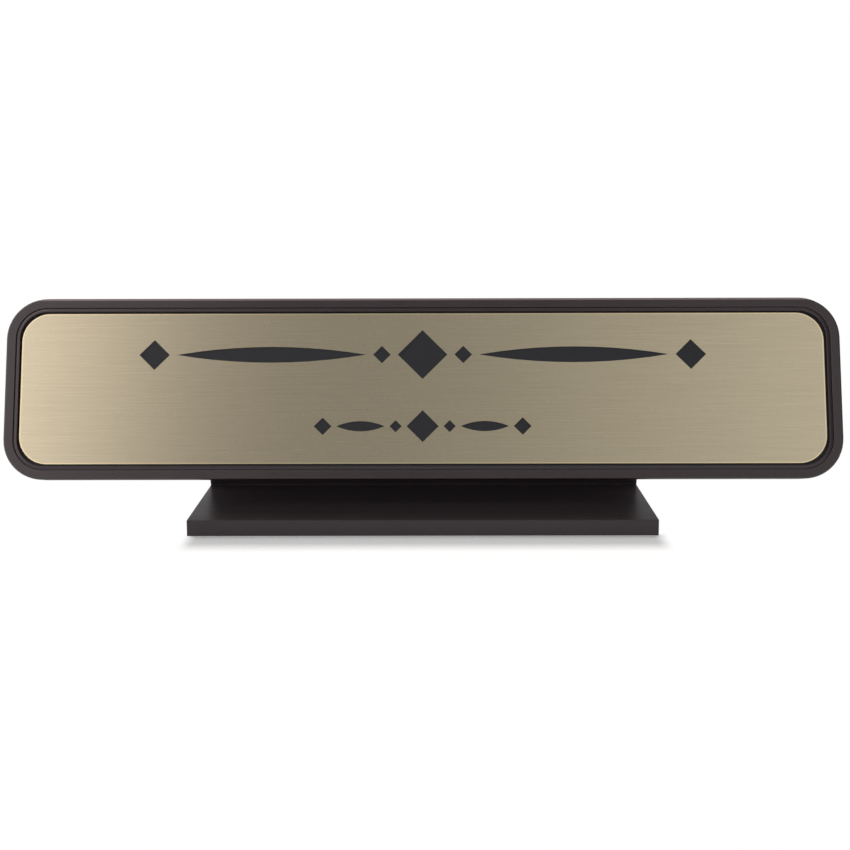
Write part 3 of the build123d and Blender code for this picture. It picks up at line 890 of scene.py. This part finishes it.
# %% Camera
SENSOR_WIDTH = 36.0
FOCAL_LENGTH = 67.455
CAMERA_PLACE = Vector((2.69, -489.97, 108.46)) * MM
CAMERA_PITCH = math.radians(9.227)
CAMERA_YAW = math.radians(0.241)
CAMERA_ROLL = math.radians(-0.140)
camera_data = bpy.data.cameras.new("camera")
camera_data.sensor_width = SENSOR_WIDTH
camera_data.lens = FOCAL_LENGTH
camera_data.clip_start = 10 * MM
camera = bpy.data.objects.new("camera", camera_data)
bpy.context.scene.collection.objects.link(camera)
camera.matrix_world = (
    Matrix.Translation(CAMERA_PLACE)
    @ Matrix.Rotation(CAMERA_YAW, 4, "Z")
    @ Matrix.Rotation(math.pi / 2 - CAMERA_PITCH, 4, "X")
    @ Matrix.Rotation(CAMERA_ROLL, 4, "Z")
)
bpy.context.scene.camera = camera
print(f"Camera: {FOCAL_LENGTH} mm lens, {CAMERA_PLACE.length / MM:.0f} mm from the object")

# %% [markdown]
# The set is white all round. Rays that go to the camera, or that come off something glossy, see plain
# white, and all other rays see the softer level that lights the object. The floor is plain white for the
# same rays, except close in front of the foot: there it is a matt floor with only as much glow as it needs
# to reach white, so the object's soft shadow shows. In the photograph it lies slightly to the right. A floor
# seen from below would hide the feet, so its back is clear.

# %% Floor and world
FLOOR_SIDE = 6.0
FLOOR_DROP = 0.03 * MM
FLOOR_GREY = (0.88, 0.88, 0.88, 1)
FLOOR_GLOW = 0.11
STUDIO_LEVEL = 0.45
SHADOW_REACH = 60 * MM
SHADOW_FADE = 5 * MM
SHADOW_SHIFT = 0.8 * MM
WHITE = (1, 1, 1, 1)
foot_low, foot_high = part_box("desk_bracket")


def bare_material(name):
    """A material with an empty tree. Returns it with its tree."""
    material = bpy.data.materials.new(name)
    material.use_nodes = True
    material.node_tree.nodes.clear()
    return material, material.node_tree


def flat_sheet(name, corners, material):
    """A flat sheet with four corners."""
    mesh = bpy.data.meshes.new(name)
    mesh.from_pydata(corners, [], [(0, 1, 2, 3)])
    mesh.materials.append(material)
    sheet = bpy.data.objects.new(name, mesh)
    bpy.context.scene.collection.objects.link(sheet)
    return sheet


def direct_rays(tree):
    """One for rays that go to the camera or come off something glossy or clear, and zero for the rest."""
    path = add_node(tree, "ShaderNodeLightPath").outputs
    sharp = maths(tree, "MAXIMUM", path["Is Camera Ray"], path["Is Glossy Ray"])
    return maths(tree, "MAXIMUM", sharp, path["Is Transmission Ray"])


def eased(tree, value, start, end):
    """Zero up to the start, one from the end on, and a smooth ease between them."""
    return made(
        tree, "ShaderNodeMapRange", {"Value": value, "From Min": start, "From Max": end},
        interpolation_type="SMOOTHSTEP",
    )


white_floor, tree = bare_material("white_floor")
place = axes_of(tree, add_node(tree, "ShaderNodeTexCoord").outputs["Object"])
sideways = maths(tree, "ABSOLUTE", maths(tree, "SUBTRACT", place["X"], SHADOW_SHIFT))
beside = eased(tree, sideways, foot_high.x - SHADOW_FADE / 2, foot_high.x + SHADOW_FADE / 2)
behind = eased(tree, place["Y"], foot_low.y, foot_low.y + SHADOW_FADE)
ahead = eased(tree, maths(tree, "SUBTRACT", foot_low.y, place["Y"]), SHADOW_REACH / 2, SHADOW_REACH)
clear_of_shadow = maths(tree, "MAXIMUM", maths(tree, "MAXIMUM", beside, behind), ahead)
seen = direct_rays(tree)
matt = made(tree, "ShaderNodeBsdfDiffuse", {"Color": FLOOR_GREY})
glow_strength = maths(tree, "MULTIPLY", seen, FLOOR_GLOW)
glow = made(tree, "ShaderNodeEmission", {"Color": WHITE, "Strength": glow_strength})
shaded = made(tree, "ShaderNodeAddShader", {0: matt, 1: glow})
plain = made(tree, "ShaderNodeEmission", {"Color": WHITE, "Strength": 1.0})
plain_share = maths(tree, "MULTIPLY", seen, clear_of_shadow)
lit = made(tree, "ShaderNodeMixShader", {0: plain_share, 1: shaded, 2: plain})
see_through = made(tree, "ShaderNodeBsdfTransparent")
from_below = add_node(tree, "ShaderNodeNewGeometry").outputs["Backfacing"]
sided = made(tree, "ShaderNodeMixShader", {0: from_below, 1: lit, 2: see_through})
add_node(tree, "ShaderNodeOutputMaterial", {"Surface": sided})
half = FLOOR_SIDE / 2
floor_corners = [(x, y, -FLOOR_DROP) for x, y in ((-half, -half), (half, -half), (half, half), (-half, half))]
floor = flat_sheet("floor", floor_corners, white_floor)
floor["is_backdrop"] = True

world = bpy.data.worlds.new("studio")
world.use_nodes = True
background = world.node_tree.nodes["Background"]
level = spread(world.node_tree, direct_rays(world.node_tree), STUDIO_LEVEL, 1.0, 0.0, 1.0)
background.inputs["Color"].default_value = WHITE
world.node_tree.links.new(level, background.inputs["Strength"])
bpy.context.scene.world = world
print("Floor and world made")

# %% [markdown]
# Brushed metal and black gloss show whatever stands around them, so the room is part of the picture. In the
# photograph the plate is bright at its left end, darkest a little left of the middle and half bright at the
# right, and the bead is dark on its right slope. So the white wall stood at the left, and the rest of the
# room was dim. A few cards do the same here: a white one far left, two behind the camera that start with an
# edge at the left and grow lighter to the right, a dark one overhead with a strip that is lighter at both
# ends, and a dark one at the right. At the back stand two low grey ones with a dark one above them. They
# give the light ends on the foot's top, where its mirror image passes the strut. Only glossy rays see the
# cards, so they change what the surfaces mirror and take no light away.

# %% Cards round the set
ROOM_SIDE = 1000 * MM
ROOM_LEFT = -1500 * MM
ROOM_RIGHT = 880 * MM
ROOM_HEIGHT = 950 * MM
WHITE_WALL_END = -560 * MM
DARK_SIDE_START = -315 * MM
STRIP_START = -640 * MM
STRIP_END = -400 * MM
STRIP_EVEN = 270 * MM
BACKDROP_TOP = 330 * MM
WHITE_WALL = (2.28, 2.20, 2.03)
DARK_SIDE = (0.04, 0.04, 0.04)
GREY_SIDE = (0.245, 0.255, 0.245)
LIGHT_SIDE = (1.19, 1.20, 1.16)
DIM = (0.06, 0.06, 0.06)
STRIP_LEFT = (4.0, 4.0, 4.0)
STRIP_MIDDLE = (0.95, 0.95, 0.95)
STRIP_RIGHT = (2.4, 2.4, 2.4)
BACKDROP_LEFT = (0.78, 0.78, 0.78)
BACKDROP_RIGHT = (0.56, 0.56, 0.56)


def add_card(name, corners, colour, end_colour=None):
    """A card that only glossy rays see. Its colour may change along X, from its first corner to its next."""
    material, tree = bare_material(name)
    glow = add_node(tree, "ShaderNodeEmission", {"Color": (*colour, 1.0)})
    if end_colour:
        across = axes_of(tree, add_node(tree, "ShaderNodeTexCoord").outputs["Object"])["X"]
        share = spread(tree, across, 0.0, 1.0, corners[0][0], corners[1][0])
        tree.links.new(mix_colours(tree, share, colour, end_colour), glow.inputs["Color"])
    add_node(tree, "ShaderNodeOutputMaterial", {"Surface": glow.outputs[0]})
    card = flat_sheet(name, corners, material)
    card.visible_camera = False
    card.visible_diffuse = False
    card.visible_shadow = False
    card.visible_transmission = False
    card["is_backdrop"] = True


def upright(start, end, bottom=0.0, top=ROOM_HEIGHT):
    """The corners of a card that stands between two places, given as (x, y)."""
    return [(*start, bottom), (*end, bottom), (*end, top), (*start, top)]


def overhead(left, right, front, back, height):
    """The corners of a card that lies level."""
    return [(left, front, height), (right, front, height), (right, back, height), (left, back, height)]


front_left, wall_end, dark_start, front_middle, front_right = [
    (x, -ROOM_SIDE) for x in (ROOM_LEFT, WHITE_WALL_END, DARK_SIDE_START, 0.0, ROOM_RIGHT)
]
back_left, back_middle, back_right = [(x, ROOM_SIDE) for x in (ROOM_LEFT, 0.0, ROOM_RIGHT)]
add_card("white_wall", upright(front_left, wall_end), WHITE_WALL)
add_card("dark_side", upright(dark_start, front_middle), DARK_SIDE, GREY_SIDE)
add_card("light_side", upright(front_middle, front_right), GREY_SIDE, LIGHT_SIDE)
add_card("right_card", upright(front_right, (ROOM_RIGHT + MM, ROOM_SIDE)), DIM)
add_card("backdrop_left", upright(back_left, back_middle, top=BACKDROP_TOP), BACKDROP_LEFT)
add_card("backdrop_right", upright(back_middle, back_right, top=BACKDROP_TOP), BACKDROP_RIGHT)
add_card("backdrop_above", upright(back_left, back_right, bottom=BACKDROP_TOP), DIM)
add_card("overhead_card", overhead(DARK_SIDE_START, ROOM_RIGHT, -ROOM_SIDE, 0.0, ROOM_HEIGHT), DIM)
strip_place = (STRIP_START, STRIP_END, ROOM_HEIGHT - MM)
add_card("strip_left", overhead(ROOM_LEFT, -STRIP_EVEN, *strip_place), STRIP_LEFT)
add_card("strip_middle", overhead(-STRIP_EVEN, STRIP_EVEN, *strip_place), STRIP_MIDDLE)
add_card("strip_right", overhead(STRIP_EVEN, ROOM_RIGHT, *strip_place), STRIP_RIGHT)
print("Cards made")

# %% [markdown]
# Two lamps do the lighting, on top of the pale studio. One stands high behind the sign: it lights the top
# edge and throws the short shadow in front of the foot. A large soft one stands low in front and reaches
# under the sign, to the back of the deck. Nothing glossy sees the lamps, because the cards already stand for
# what the surfaces mirror.

# %% Lamps
BACK_BOX_PLACE = Vector((0.0, 0.65, 0.91))
FILL_BOX_PLACE = Vector((-0.15, -1.1, 0.26))
object_middle = (cad_low + cad_high) / 2


def soft_box(name, place, width, height, power):
    """A rectangular area lamp that looks at the object and shows in no mirror image."""
    data = bpy.data.lights.new(name, "AREA")
    data.shape = "RECTANGLE"
    data.size = width
    data.size_y = height
    data.energy = power
    lamp = bpy.data.objects.new(name, data)
    lamp.location = place
    lamp.rotation_euler = (object_middle - place).to_track_quat("-Z", "Y").to_euler()
    lamp.visible_glossy = False
    bpy.context.scene.collection.objects.link(lamp)


soft_box("back_box", BACK_BOX_PLACE, width=0.6, height=0.10, power=8.4)
soft_box("fill_box", FILL_BOX_PLACE, width=0.6, height=0.36, power=6.0)
bpy.context.scene.view_settings.view_transform = "Standard"
print("Lamps made")

# %% [markdown]
# Last, the box of the CAD solids and the box of the finished pieces are written side by side, so anyone can
# see that no piece has grown past the model.

# %% Sizes and the end
low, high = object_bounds()
print("Visual box in mm:", [round(side / MM, 2) for side in high - low])
